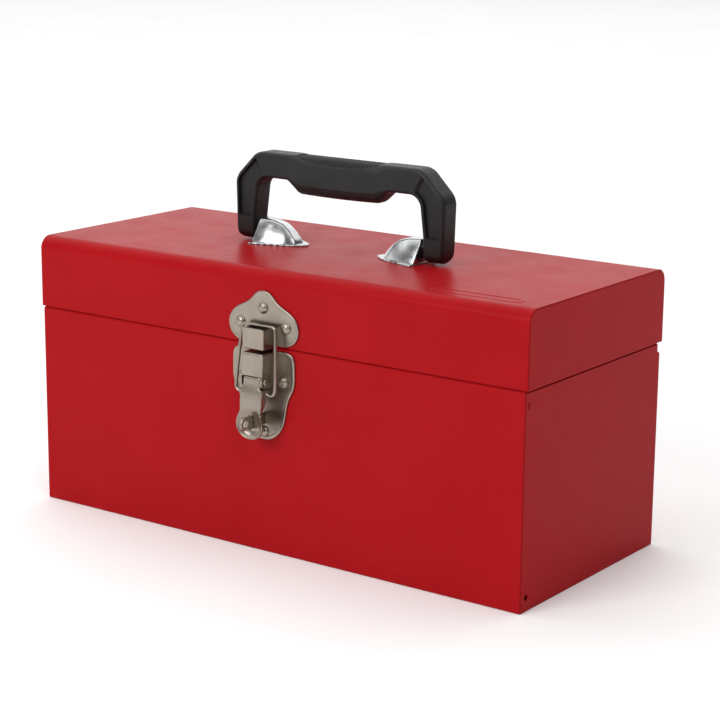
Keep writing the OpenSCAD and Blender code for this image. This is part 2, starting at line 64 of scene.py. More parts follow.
LID_LOW, LID_HIGH = corners("lid_shell")
BODY_HIGH = corners("body_shell")[1]
FRONT = LID_LOW.y
BACK = LID_HIGH.y
LID_TOP = LID_HIGH.z
LID_EDGE = LID_LOW.z
LID_END = corners("lid_end_right")[1].x - 0.05
BODY_END = corners("body_end_right")[1].x
BODY_BACK_TOP = corners("hinge_leaf_body")[0].z + 12.2
SHEET = 0.8
LID_BEND_R = 9
BODY_BEND_R = 1.4
# The gap under the lid's edge, and where the body's front steps back behind the lid
SEAM = LID_EDGE - 0.6
SHOULDER = SEAM - 0.6
# Middle and half run of the mark stamped in the lid's top
MARK_X, MARK_Y, MARK_RUN = 153, -66.5, 28

PIVOT = joint_at("handle_fold")
THROW = joint_at("latch_throw")
SWING = joint_at("bail_swing")

PLATE_FRONT = FRONT - 1.5
KEEPER_TOP = corners("keeper_plate")[1].z
BASE_LOW = corners("latch_base_plate")[0].z
LATCH_HALF = 9.0
HOOK_FRONT = PLATE_FRONT - 11.5
BOX_FRONT = PLATE_FRONT - 12.5
BAIL_TILT = math.radians(5.2)
BAIL_REACH = 44.1
# The hook's ledge, just under the bar of the closed bail
LEDGE = SWING.z + BAIL_REACH * math.cos(BAIL_TILT) - 1.55

HANDLE_LOW, HANDLE_HIGH = corners("handle_grip")
HANDLE_HALF = HANDLE_HIGH.x
HANDLE_TOP = HANDLE_HIGH.z
LEG_BOTTOM = HANDLE_LOW.z
LEG_TAPER = 1.2
LEG_THICK = 8.5
FOOT_R = 10.0
CHAMFER = 19.0
OPENING_HALF = 71.5
OPENING_TAPER = 2.5
CORNER_R = 9.5
ARCH_TOP = HANDLE_TOP - 17.8
GRIP_BOTTOM = HANDLE_TOP - 27.6
POCKET_FLOOR = PIVOT.z + 6.8
RIB_HALF = 35.0


# ---------------------------------------------------------------- camera, placed in metres
def make_camera():
    """Long lens from the front right, a little above the lid."""
    place = Vector((0.8226, -1.12156, 0.45244))
    azimuth, elevation, roll = math.radians(35.74), math.radians(13.57), math.radians(0.52)
    across = Vector((math.cos(azimuth), math.sin(azimuth), 0))
    level = Vector((math.sin(azimuth), -math.cos(azimuth), 0))
    back = level * math.cos(elevation) + Vector((0, 0, math.sin(elevation)))
    up = back.cross(across)
    right = across * math.cos(roll) + up * math.sin(roll)
    upright = up * math.cos(roll) - across * math.sin(roll)
    data = bpy.data.cameras.new("camera")
    data.sensor_width = 36
    data.lens = 102.745
    data.clip_end = 50
    camera = bpy.data.objects.new("camera", data)
    turn = Matrix((right, upright, back)).transposed().to_4x4()
    camera.matrix_world = Matrix.Translation(place) @ turn
    scene.collection.objects.link(camera)
    scene.camera = camera


# ---------------------------------------------------------------- materials
class Nodes:
    """Short hand for building one material's node tree."""

    def __init__(self, name):
        self.material = bpy.data.materials.new(name)
        self.material.use_nodes = True
        self.tree = self.material.node_tree
        self.shader = self.tree.nodes["Principled BSDF"]
        self.place = self.tree.nodes.new("ShaderNodeTexCoord").outputs["Object"]

    def link(self, source, target):
        self.tree.links.new(source, target)

    def noise(self, scale, detail, rough, stretch=None):
        """Cloudy noise, stretched along the axes when asked."""
        place = self.place
        if stretch:
            mapping = self.tree.nodes.new("ShaderNodeMapping")
            mapping.inputs["Scale"].default_value = stretch
            self.link(place, mapping.inputs["Vector"])
            place = mapping.outputs["Vector"]
        node = self.tree.nodes.new("ShaderNodeTexNoise")
        node.inputs["Scale"].default_value = scale
        node.inputs["Detail"].default_value = detail
        node.inputs["Roughness"].default_value = rough
        self.link(place, node.inputs["Vector"])
        return node.outputs["Fac"]

    def cells(self, scale):
        """Distances in a cell pattern."""
        node = self.tree.nodes.new("ShaderNodeTexVoronoi")
        node.inputs["Scale"].default_value = scale
        self.link(self.place, node.inputs["Vector"])
        return node.outputs["Distance"]

    def spread(self, value, low, high):
        """A number between low and high, following the middle of a pattern's range."""
        node = self.tree.nodes.new("ShaderNodeMapRange")
        node.inputs["From Min"].default_value = 0.3
        node.inputs["From Max"].default_value = 0.7
        node.inputs["To Min"].default_value = low
        node.inputs["To Max"].default_value = high
        self.link(value, node.inputs["Value"])
        return node.outputs["Result"]

    def blend(self, value, first, second, start=0.3, end=0.7):
        """A colour between two, following a pattern."""
        node = self.tree.nodes.new("ShaderNodeValToRGB")
        node.color_ramp.elements[0].position = start
        node.color_ramp.elements[0].color = (*first, 1)
        node.color_ramp.elements[1].position = end
        node.color_ramp.elements[1].color = (*second, 1)
        self.link(value, node.inputs["Fac"])
        return node.outputs["Color"]

    def bump(self, value, strength, distance, normal=None):
        """A normal bent by a pattern, on top of another when given."""
        node = self.tree.nodes.new("ShaderNodeBump")
        node.inputs["Strength"].default_value = strength
        node.inputs["Distance"].default_value = distance
        self.link(value, node.inputs["Height"])
        if normal:
            self.link(normal, node.inputs["Normal"])
        return node.outputs["Normal"]

    def metal(self):
        self.shader.inputs["Metallic"].default_value = 1.0

    def sheen(self, level):
        self.shader.inputs["Specular IOR Level"].default_value = level

    def wire(self, color, roughness, normal=None):
        """Joins the finished patterns to the shader."""
        for name, source in (("Base Color", color), ("Roughness", roughness), ("Normal", normal)):
            if source:
                self.link(source, self.shader.inputs[name])


def red_paint():
    """Satin powder coat: a fine orange peel over a faintly uneven film."""
    n = Nodes("red_paint")
    n.sheen(0.045)
    peel = n.bump(n.noise(700, 2, 0.5), 0.10, 0.0002)
    grain = n.bump(n.noise(2600, 1, 0.5), 0.05, 0.0001, peel)
    n.wire(color=n.blend(n.noise(14, 4, 0.6), (0.340, 0.0052, 0.0078), (0.370, 0.0066, 0.0098)),
           roughness=n.spread(n.noise(45, 3, 0.6), 0.29, 0.36), normal=grain)
    return n.material


def nickel_plate():
    """Barrel-plated nickel: warm grey, a little cloudy, with fine tumbling marks."""
    n = Nodes("nickel_plate")
    n.metal()
    marks = n.noise(1100, 4, 0.7)
    n.wire(color=n.blend(n.noise(70, 4, 0.6), (0.295, 0.252, 0.208), (0.352, 0.308, 0.259)),
           roughness=n.spread(n.noise(160, 5, 0.7), 0.27, 0.37), normal=n.bump(marks, 0.08, 0.00006))
    return n.material


def bright_chrome():
    """Chrome over a drawn steel stamping, with faint draw lines."""
    n = Nodes("bright_chrome")
    n.metal()
    lines = n.noise(500, 3, 0.6, (0.3, 1, 1))
    n.wire(color=n.blend(n.noise(120, 3, 0.6), (0.50, 0.51, 0.52), (0.64, 0.65, 0.66)),
           roughness=n.spread(n.noise(200, 4, 0.6), 0.16, 0.28), normal=n.bump(lines, 0.15, 0.0001))
    return n.material


def black_plastic():
    """Moulded polypropylene with a spark-eroded grain."""
    n = Nodes("black_plastic")
    n.sheen(0.35)
    grain = n.bump(n.noise(1500, 3, 0.65), 0.35, 0.00015)
    n.wire(color=n.blend(n.noise(60, 3, 0.6), (0.006, 0.006, 0.0062), (0.010, 0.010, 0.0105)),
           roughness=n.spread(n.noise(300, 3, 0.6), 0.40, 0.55), normal=grain)
    return n.material


def zinc_plate():
    """Zinc-plated steel with its small crystal flecks."""
    n = Nodes("zinc_plate")
    n.metal()
    flecks = n.cells(420)
    n.wire(color=n.blend(flecks, (0.46, 0.47, 0.49), (0.64, 0.64, 0.66), 0.1, 0.6),
           roughness=n.spread(n.noise(250, 4, 0.6), 0.28, 0.44), normal=n.bump(flecks, 0.1, 0.0001))
    return n.material


def floor_paper():
    """Plain white background paper."""
    n = Nodes("floor_paper")
    n.sheen(0.2)
    n.wire(color=n.blend(n.noise(6, 2, 0.5), (0.94, 0.94, 0.94), (0.96, 0.96, 0.96)),
           roughness=n.spread(n.noise(30, 2, 0.5), 0.85, 0.9))
    return n.material


SLOTS = {"red_paint": red_paint(), "nickel": nickel_plate(), "bracket_chrome": bright_chrome(),
         "black_plastic": black_plastic(), "zinc_steel": zinc_plate()}


# ---------------------------------------------------------------- mesh helpers
def link_object(name, mesh):
    """A new object in the scene."""
    made = bpy.data.objects.new(name, mesh)
    scene.collection.objects.link(made)
    return made


def from_points(name, verts, faces):
    """A new object from points in millimetres."""
    mesh = bpy.data.meshes.new(name)
    mesh.from_pydata([tuple(c * MM for c in v) for v in verts], [], faces)
    return link_object(name, mesh)


def from_work(name, work):
    """A new object from a bmesh, which is freed."""
    mesh = bpy.data.meshes.new(name)
    work.to_mesh(mesh)
    work.free()
    return link_object(name, mesh)


def label(piece, body, slot, replaces):
    """Gives a piece the material of its slot and the body it rides on, and hides the CAD nodes it stands for."""
    piece.data.materials.append(SLOTS[slot])
    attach(piece, body)
    if replaces:
        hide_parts(*replaces)


def smooth(piece, sharp):
    """Smooth shading, broken at edges of more than the given angle."""
    piece.data.shade_smooth()
    piece.data.set_sharp_from_angle(angle=math.radians(sharp))


def add(name, part, body, slot, replaces, sharp):
    """A new labelled piece from (points, faces), with doubled points merged and faces pointing outwards."""
    piece = from_points(name, *part)
    work = bmesh.new()
    work.from_mesh(piece.data)
    bmesh.ops.remove_doubles(work, verts=work.verts, dist=0.002 * MM)
    bmesh.ops.dissolve_degenerate(work, edges=work.edges, dist=0.001 * MM)
    bmesh.ops.recalc_face_normals(work, faces=work.faces)
    work.to_mesh(piece.data)
    work.free()
    smooth(piece, sharp)
    label(piece, body, slot, replaces)
    return piece


def bevelled(piece, width, segments, angle):
    """Rounds the hard edges with a bevel of the given width in millimetres."""
    bevel = piece.modifiers.new("bevel", "BEVEL")
    bevel.width = width * MM
    bevel.segments = segments
    bevel.limit_method = "ANGLE"
    bevel.angle_limit = math.radians(angle)
    bevel.use_clamp_overlap = True
    bevel.harden_normals = False
    normals = piece.modifiers.new("normals", "WEIGHTED_NORMAL")
    normals.keep_sharp = True


def settle(piece, sharp):
    """Applies a piece's modifiers to its mesh."""
    graph = bpy.context.evaluated_depsgraph_get()
    graph.update()
    mesh = bpy.data.meshes.new_from_object(piece.evaluated_get(graph))
    piece.modifiers.clear()
    old = piece.data
    piece.data = mesh
    bpy.data.meshes.remove(old)
    mesh.name = piece.name
    smooth(piece, sharp)


def thicken(piece, thickness, even=True):
    """Gives an open sheet its thickness, inwards."""
    solid = piece.modifiers.new("thickness", "SOLIDIFY")
    solid.thickness = thickness * MM
    solid.offset = -1.0
    solid.use_even_offset = even


def loft(rows, closed=True, capped=False):
    """Points and faces of a grid of rows: closed joins each row's ends, capped fills the outer rows."""
    count = len(rows[0])
    verts = [p for row in rows for p in row]
    faces = []
    for r in range(len(rows) - 1):
        for c in range(count if closed else count - 1):
            d = (c + 1) % count
            faces.append((r * count + c, r * count + d, (r + 1) * count + d, (r + 1) * count + c))
    if capped:
        faces.append(tuple(range(count))[::-1])
        faces.append(tuple(range((len(rows) - 1) * count, len(rows) * count)))
    return verts, faces


def join(*parts):
    """Several (points, faces) as one."""
    verts, faces = [], []
    for part_verts, part_faces in parts:
        base = len(verts)
        verts += part_verts
        faces += [tuple(i + base for i in face) for face in part_faces]
    return verts, faces


def around(centre, radius, turn):
    """A point on a circle, for a turn in radians."""
    return centre[0] + radius * math.cos(turn), centre[1] + radius * math.sin(turn)


def lathe(profile, place, sides):
    """Turns (radius, height) points round an axis; place maps (a, b, height) to a point."""
    turns = [math.tau * i / sides for i in range(sides)]
    return loft([[place(*around((0, 0), radius, turn), height) for turn in turns]
                 for radius, height in profile], capped=True)


def smooth_path(points, steps, closed=False):
    """Catmull-Rom curve through a list of points."""
    pts = [Vector(p) for p in points]
    out = []
    last = len(pts) if closed else len(pts) - 1
    for i in range(last):
        def pick(k):
            return pts[k % len(pts)] if closed else pts[max(0, min(len(pts) - 1, k))]
        a, b, c, d = pick(i - 1), pick(i), pick(i + 1), pick(i + 2)
        for s in range(steps):
            t = s / steps
            out.append(0.5 * ((2 * b) + (c - a) * t + (2 * a - 5 * b + 4 * c - d) * t * t
                              + (3 * b - a - 3 * c + d) * t ** 3))
    if not closed:
        out.append(pts[-1])
    return out


def tube(points, radius):
    """A round wire along a path, with slightly rounded ends."""
    turns = [math.tau * k / 14 for k in range(14)]
    rows = []
    side = None
    for i, p in enumerate(points):
        ahead = (points[min(i + 1, len(points) - 1)] - points[max(i - 1, 0)]).normalized()
        if side is None:
            side = ahead.orthogonal().normalized()
        side = (side - ahead * side.dot(ahead)).normalized()
        other = ahead.cross(side)
        rings = [(p, radius)]
        if i == 0:
            rings = [(p, radius * 0.7), (p + ahead * radius * 0.25, radius)]
        elif i == len(points) - 1:
            rings = [(p - ahead * radius * 0.25, radius), (p, radius * 0.7)]
        for centre, r in rings:
            rows.append([tuple(centre + side * (r * math.cos(t)) + other * (r * math.sin(t))) for t in turns])
    return loft(rows, capped=True)


def fillet(points):
    """A closed outline from (x, z, radius) corners, each rounded to its radius."""
    out = []
    count = len(points)
    for i, (x, z, r) in enumerate(points):
        here = Vector((x, z))
        back = (Vector(points[i - 1][:2]) - here).normalized()
        on = (Vector(points[(i + 1) % count][:2]) - here).normalized()
        angle = back.angle(on)
        if r <= 0 or angle > math.radians(178):
            out.append(tuple(here))
            continue
        reach = r / math.tan(angle / 2)
        start, end = here + back * reach, here + on * reach
        centre = here + (back + on).normalized() * (r / math.sin(angle / 2))
        a0 = math.atan2(start.y - centre.y, start.x - centre.x)
        a1 = math.atan2(end.y - centre.y, end.x - centre.x)
        turn = (a1 - a0 + math.pi) % math.tau - math.pi
        steps = max(3, int(abs(turn) / math.radians(9)))
        out += [around(centre, r, a0 + turn * k / steps) for k in range(steps + 1)]
    return out


def bell(half):
    """A smooth closed outline from its right half, given from the top middle to the bottom middle."""
    return [tuple(p) for p in smooth_path(half + [(-x, z) for x, z in reversed(half[1:-1])], 5, True)]


def inset(outline, distance):
    """Moves a closed clockwise or anticlockwise outline inwards."""
    area = sum(a[0] * b[1] - b[0] * a[1] for a, b in zip(outline, outline[1:] + outline[:1]))
    sign = 1 if area > 0 else -1
    out = []
    count = len(outline)
    for i, p in enumerate(outline):
        a, b = Vector(outline[i - 1]), Vector(outline[(i + 1) % count])
        here = Vector(p)
        n1, n2 = (here - a), (b - here)
        n1, n2 = Vector((-n1.y, n1.x)), Vector((-n2.y, n2.x))
        normal = (n1.normalized() + n2.normalized()).normalized() * sign
        out.append(tuple(here + normal * distance))
    return out


def smoothstep(t):
    """0 below 0, 1 above 1, and a smooth rise between."""
    t = max(0.0, min(1.0, t))
    return t * t * (3 - 2 * t)


def follow(points, at):
    """The value at a place along a list of (place, value) points, on a smooth curve through them."""
    for i in range(len(points) - 1):
        (a, low), (b, high) = points[i], points[i + 1]
        if at <= b:
            before, after = points[max(i - 1, 0)], points[min(i + 2, len(points) - 1)]
            run, t = b - a, (at - a) / (b - a)
            rise_a = (high - before[1]) / (b - before[0]) * run
            rise_b = (after[1] - low) / (after[0] - a) * run
            return (low * (1 - 3 * t * t + 2 * t ** 3) + high * (3 * t * t - 2 * t ** 3)
                    + rise_a * (t - 2 * t * t + t ** 3) + rise_b * (t ** 3 - t * t))
    return points[-1][1]


def face_front(piece):
    """Turns an open sheet's faces so that its foremost one looks to the front."""
    front = min(piece.data.polygons, key=lambda f: f.center.y)
    if front.normal.y > 0:
        piece.data.flip_normals()


def spaced(start, end, step):
    """Even places from start to end, about a step apart."""
    count = max(1, round(abs(end - start) / step))
    return [start + (end - start) * i / count for i in range(count + 1)]


# ---------------------------------------------------------------- sheet metal
def sheet_normals(path):
    """Left-hand normals along an open (y, z) path."""
    out = []
    for i in range(len(path)):
        a, b = Vector(path[max(i - 1, 0)]), Vector(path[min(i + 1, len(path) - 1)])
        d = (b - a).normalized()
        out.append(Vector((-d.y, d.x)))
    return out


def folded_sheet(path, stations, relief):
    """An outer (y, z) path swept over x stations. relief(x, y, z) moves the sheet along its normal."""
    normals = sheet_normals(path)
    rows = []
    for x in stations:
        outer, inner = [], []
        for (y, z), n in zip(path, normals):
            lift = relief(x, y, z)
            outer.append((x, y + n.x * lift, z + n.y * lift))
            inner.append((x, y + n.x * (lift - SHEET), z + n.y * (lift - SHEET)))
        rows.append(outer + inner[::-1])
    return loft(rows, capped=True)


def arc(y, z, r, start, end, steps):
    """Points along a circle from one angle to another, in degrees."""
    return [around((y, z), r, math.radians(start + (end - start) * i / steps)) for i in range(steps + 1)]


def slack(x, y, z):
    """The slight hollow of a thin panel between its stiff edges, inwards only."""
    wave = noise.noise(Vector((x / 120, y / 80, z / 80)))
    return -0.06 * (0.5 + 0.5 * wave)


def lid_relief(x, y, z):
    """Panel slack, faded out at the sheet's edges, and a stamped lozenge outline near the top's front."""
    outer, inner, lift = 5.0, 2.6, 0.35
    height = slack(x, y, z) * smoothstep((LID_END - abs(x)) / 30) * smoothstep((z - LID_EDGE) / 20)
    if z > LID_TOP - 0.5:
        gap = math.hypot(max(0.0, abs(x - MARK_X) - MARK_RUN), y - MARK_Y)
        height += lift * (smoothstep((gap - inner) / 1.2) - smoothstep((gap - outer) / 1.4))
    return height


def make_lid_shell():
    """Front, top and back in one sheet, with a fine pitch under the stamped mark."""
    r = LID_BEND_R
    mark_front, mark_back = MARK_Y - 8.9, MARK_Y + 8.9
    mark_left, mark_right = MARK_X - 36, MARK_X + 36
    path = [(FRONT, z) for z in spaced(LID_EDGE, LID_TOP - r - 1, 9)]
    path += arc(FRONT + r, LID_TOP - r, r, 180, 90, 14)
    path += [(y, LID_TOP) for y in spaced(FRONT + r + 1, mark_front - 0.6, 2)]
    path += [(y, LID_TOP) for y in spaced(mark_front, mark_back, 0.6)]
    path += [(y, LID_TOP) for y in spaced(mark_back + 1.6, BACK - r - 1, 9)]
    path += arc(BACK - r, LID_TOP - r, r, 90, 0, 14)
    path += [(BACK, z) for z in spaced(LID_TOP - r - 1, LID_EDGE, 9)]
    end = LID_HIGH.x
    stations = spaced(-end, mark_left - 1, 10) + spaced(mark_left, mark_right, 0.6)
    stations += spaced(mark_right + 2, end, 4)
    part = folded_sheet(path, stations, lid_relief)
    bevelled(add("lid_wrap", part, "lid", "red_paint", ["lid_shell"], 40), 0.25, 2, 50)


def body_relief(x, y, z):
    """Panel slack, faded out at the sheet's edges."""
    fade = smoothstep((BODY_END - abs(x)) / 30) * smoothstep((z - 2) / 20) * smoothstep((SEAM - z) / 20)
    return slack(x, y, z) * fade


def make_body_shell():
    """Front, bottom and back in one sheet, with a lip stepped back behind the lid's front."""
    lip = BODY_HIGH.z
    lip_y = FRONT + 2.9
    round_r = 1.1
    r = BODY_BEND_R
    path = [(lip_y, lip), (lip_y, lip - 3), (lip_y, SHOULDER + 2.6), (lip_y - 0.15, SHOULDER + 2.1)]
    path += arc(FRONT + round_r, SHOULDER - round_r, round_r, 130, 180, 5)
    path += [(FRONT, z) for z in spaced(SHOULDER - 3, r + 2, 9)]
    path += arc(FRONT + r, r, r, 180, 270, 6)
    path += [(y, 0) for y in spaced(FRONT + r + 1, BACK - r - 1, 12)]
    path += arc(BACK - r, r, r, 270, 360, 6)
    path += [(BACK, z) for z in spaced(r + 2, BODY_BACK_TOP, 9)]
    end = BODY_HIGH.x
    # The path runs down the front, so it is turned round for its normals to point outwards
    part = folded_sheet(path[::-1], spaced(-end, end, 9), body_relief)
    bevelled(add("body_wrap", part, "box_body", "red_paint", ["body_shell"], 40), 0.25, 2, 50)


def fold(work, edges, distance):
    """Turns a flange along x out of some edges."""
    made = bmesh.ops.extrude_edge_only(work, edges=edges)
    moved = [v for v in made["geom"] if isinstance(v, bmesh.types.BMVert)]
    bmesh.ops.translate(work, verts=moved, vec=(distance * MM, 0, 0))


def pan(name, outline, walled, x_out, depth, body, node, holes=(), hem=None):
    """An end panel: a plate at x_out with flanges turned inwards along the walled outline edges and a short
    turned-in edge along the hem edge. holes are (y, z, half width, half height, corner radius)."""
    hem_depth, bend_r, margin = 1.1, 1.0, 3
    work = bmesh.new()
    sign = 1 if x_out > 0 else -1
    verts = [work.verts.new((x_out * MM, y * MM, z * MM)) for y, z in outline]
    work.faces.new(verts)

    def edge_after(i):
        return work.edges.get((verts[i], verts[(i + 1) % len(verts)]))

    folds = [edge_after(i) for i in walled]
    fold(work, folds, -sign * depth)
    if hem is not None:
        folds.append(edge_after(hem))
        fold(work, folds[-1:], -sign * hem_depth)
    bmesh.ops.bevel(work, geom=folds, offset=bend_r * MM, segments=4, profile=0.5, affect="EDGES",
                    clamp_overlap=True)
    bmesh.ops.recalc_face_normals(work, faces=work.faces)
    plate = max(work.faces, key=lambda f: f.calc_area())
    if plate.normal.x * sign < 0:
        bmesh.ops.reverse_faces(work, faces=work.faces)
    piece = from_work(name, work)
    thicken(piece, SHEET)
    cutters = []
    for y, z, half_y, half_z, r in holes:
        rim = fillet([(y - half_y, z - half_z, r), (y + half_y, z - half_z, r),
                      (y + half_y, z + half_z, r), (y - half_y, z + half_z, r)])
        rows = [[(x_out + d, a, b) for a, b in rim] for d in (-margin, margin)]
        cutters.append(from_points("cutter", *loft(rows, capped=True)))
        hole = piece.modifiers.new("hole", "BOOLEAN")
        hole.operation = "DIFFERENCE"
        hole.solver = "EXACT"
        hole.object = cutters[-1]
    settle(piece, 35)
    for cutter in cutters:
        bpy.data.objects.remove(cutter)
    label(piece, body, "red_paint", [node])
    bevelled(piece, 0.36, 3, 40)
    return piece


def joggle(piece, height, depth):
    """Steps an end panel inwards above a height, so that a gap shows below the lid's edge."""
    sign = 1 if piece.data.vertices[0].co.x > 0 else -1
    ramp_height = 0.5
    work = bmesh.new()
    work.from_mesh(piece.data)
    for z in (height, height + ramp_height):
        everything = work.verts[:] + work.edges[:] + work.faces[:]
        bmesh.ops.bisect_plane(work, geom=everything, plane_co=(0, 0, z * MM), plane_no=(0, 0, 1))
    for v in work.verts:
        if v.co.z > (height + ramp_height / 2) * MM:
            v.co.x -= sign * depth * MM
    work.to_mesh(piece.data)
    work.free()


def make_body_ends():
    """Two pans with three flanges, notched round the lip and the hinge, and two small holes each."""
    front, back, low, lip = FRONT + 0.8, BACK - 0.8, 0.85, BODY_HIGH.z
    outline = [(front, SHOULDER - 1), (front, low), (back, low), (back, BODY_BACK_TOP),
               (back - 3, BODY_BACK_TOP + 1.5), (back - 3, lip), (front + 2.3, lip),
               (front + 2.3, SHOULDER + 2.2), (front + 0.2, SHOULDER)]
    slot = (FRONT + 4.25, SEAM - 9.5, 0.65, 2.5, 0.6)
    drain = (FRONT + 7, 9.4, 2, 2, 1.99)
    for side, name in ((1, "right"), (-1, "left")):
        panel = pan("body_end_panel_" + name, outline, [0, 1, 2], side * BODY_END, 12, "box_body",
                    "body_end_" + name, [slot, drain])
        joggle(panel, SEAM - 1.3, 0.8)


def make_lid_ends():
    """Two pans that close the lid's ends, flanged along the front, top and back."""
    front, back, top = FRONT + 0.8, BACK - 0.8, LID_TOP - 0.8
    r = LID_BEND_R - 0.8
    start = LID_EDGE + 3.6
    outline = [(front + 0.1, LID_EDGE), (front, start)]
    outline += arc(front + r, top - r, r, 180, 90, 10)
    outline += arc(back - r, top - r, r, 90, 0, 10)
    outline += [(back, start), (back - 0.1, LID_EDGE)]
    walled = list(range(1, len(outline) - 2))
    for side, name in ((1, "right"), (-1, "left")):
        pan("lid_end_panel_" + name, outline, walled, side * LID_END, 10, "lid", "lid_end_" + name,
            hem=len(outline) - 1)


# ---------------------------------------------------------------- latch
def coined_plate(half, rim, depth):
    """A stamped plate with a rounded edge and a raised rim, from the right half of its outline."""
    back, front = FRONT - 0.02, PLATE_FRONT
    rings = [(0.15, back), (0, back - 0.15), (0, front + 0.55), (0.12, front + 0.22), (0.4, front + 0.04),
             (0.7, front), (rim, front), (rim + 0.25, front + depth * 0.25),
             (rim + 0.6, front + depth * 0.85), (rim + 0.9, front + depth)]
    outline = bell(half)
    return loft([[(x, y, z) for x, z in inset(outline, distance)] for distance, y in rings], capped=True)


def rivets(places):
    """Domed heads on the latch plate, each with its upset tail inside the box."""
    head_r, head_h, tail_r, tail_h = 3.9, 2.0, 3.2, 0.9
    # Share of the radius and of the height
    head = [(1, -0.3), (1, 0), (1, 0.12), (0.97, 0.24), (0.86, 0.52), (0.68, 0.78), (0.44, 0.94), (0.2, 1),
            (0.06, 1)]
    tail = [(0.5, -0.5 / tail_h), (1, 0), (1, 0.5), (0.85, 0.9), (0.4, 1), (0.3, 0.6), (0.05, 0.55)]
    front, inside = PLATE_FRONT, FRONT + SHEET
    parts = []
    for x, z in places:
        parts.append(lathe([(r * head_r, h * head_h) for r, h in head],
                           lambda a, b, h: (x + a, front - h, z + b), 36))
        parts.append(lathe([(r * tail_r, h * tail_h) for r, h in tail],
                           lambda a, b, h: (x + a, inside + h, z + b), 28))
    return join(*parts)


def open_box(name, faces, radius, body):
    """A nickel box folded from sheet. faces are lists of points, and the edges they share are bends."""
    work = bmesh.new()
    known = {}

    def vert(p):
        key = tuple(round(c, 4) for c in p)
        if key not in known:
            known[key] = work.verts.new([c * MM for c in p])
        return known[key]

    for points in faces:
        work.faces.new([vert(p) for p in points])
    bends = [e for e in work.edges if len(e.link_faces) == 2]
    bmesh.ops.recalc_face_normals(work, faces=work.faces)
    bmesh.ops.bevel(work, geom=bends, offset=radius * MM, segments=5, profile=0.5, affect="EDGES")
    piece = from_work(name, work)
    face_front(piece)
    thicken(piece, 1.2)
    settle(piece, 35)
    label(piece, body, "nickel", ())
    bevelled(piece, 0.22, 3, 40)


def make_keeper():
    """The lobed plate on the lid, the hook folded from it and its three rivets."""
    # Right half of the outline: x and the distance below the top
    half = [(0, 0), (4.4, 0.9), (7.5, 3.2), (10.6, 6.3), (14.5, 9), (18.6, 11), (22.6, 13.2), (26.0, 16.2),
            (28.3, 20), (29.0, 24), (28.2, 28.4), (25.6, 32.2), (21.8, 34.6), (17.4, 35.7), (10, 35.8),
            (0, 35.8)]
    plate = coined_plate([(x, KEEPER_TOP - down) for x, down in half], 1.2, 0.15)
    add("keeper_plate_coined", plate, "lid", "nickel", ["keeper_plate"], 50)
    low, lip = SEAM - 0.4, LEDGE + 0.7
    front, back = HOOK_FRONT, PLATE_FRONT + 0.3
    w = LATCH_HALF
    faces = [[(-w, front, low), (w, front, low), (w, front, LEDGE), (w - 0.8, front, lip),
              (-w + 0.8, front, lip), (-w, front, LEDGE)],
             [(-w, front, low), (-w, back, low), (w, back, low), (w, front, low)]]
    for x in (-w, w):
        faces.append([(x, front, low), (x, front, LEDGE), (x, back, LEDGE), (x, back, low)])
    open_box("keeper_hook", faces, 1.5, "lid")
    places = [(0, SEAM + 25.7), (-19, SEAM + 14.2), (19, SEAM + 14.2)]
    add("keeper_rivet_set", rivets(places), "lid", "nickel", ["keeper_rivets"], 50)


def make_base():
    """The plate on the body with its raised box, its ears and its rivets."""
    # Right half of the outline: x and the distance below the seam
    half = [(0, 2), (12, 2), (19.6, 2.1), (23.6, 3.6), (25.5, 7), (25.8, 13), (25.8, 21), (25.1, 25.6),
            (23.2, 29.6), (20.8, 34.4), (19.2, 40), (18.1, 46), (16.4, 52.4), (12.3, 58.6), (6.6, 62.6),
            (0, SEAM - BASE_LOW)]
    plate = coined_plate([(x, SEAM - down) for x, down in half], 2.0, 0.45)
    add("latch_plate_coined", plate, "box_body", "nickel", ["latch_base_plate"], 50)
    front, back = BOX_FRONT, PLATE_FRONT + 0.3
    top, bottom = SEAM - 2.4, THROW.z + 3.9
    ear_r = 4.2
    ear = [(front - 0.3, bottom - 1.2)] + arc(THROW.y, THROW.z, ear_r, 195, 270, 7)
    ear += [(back - 5.0, THROW.z - ear_r), (back, THROW.z - 2.2)]
    w = LATCH_HALF
    faces = [[(-w, front, bottom), (w, front, bottom), (w, front, top), (-w, front, top)],
             [(-w, front, top), (w, front, top), (w, back, top), (-w, back, top)]]
    for x in (-w, w):
        side = [(front, top), (front, bottom)] + ear + [(back, top)]
        faces.append([(x, y, z) for y, z in side])
    open_box("latch_box", faces, 1.6, "box_body")
    places = [(-16.8, SEAM - 22.3), (16.8, SEAM - 22.3), (0, SEAM - 58.2)]
    add("latch_rivet_set", rivets(places), "box_body", "nickel", ["latch_base_rivets"], 50)


def make_pivot_pin():
    """Headed pin through the ears and the lever's tongue."""
    head = [(1.45, 8.9), (2.5, 9.05), (2.6, 9.3), (2.45, 9.9), (1.9, 10.3), (1.0, 10.5), (0.1, 10.5)]
    profile = [(r, -h) for r, h in reversed(head)] + head
    pin = lathe(profile, lambda a, b, h: (h, THROW.y + a, THROW.z + b), 28)
    add("latch_pin_headed", pin, "box_body", "nickel", ["latch_pivot_pin"], 50)


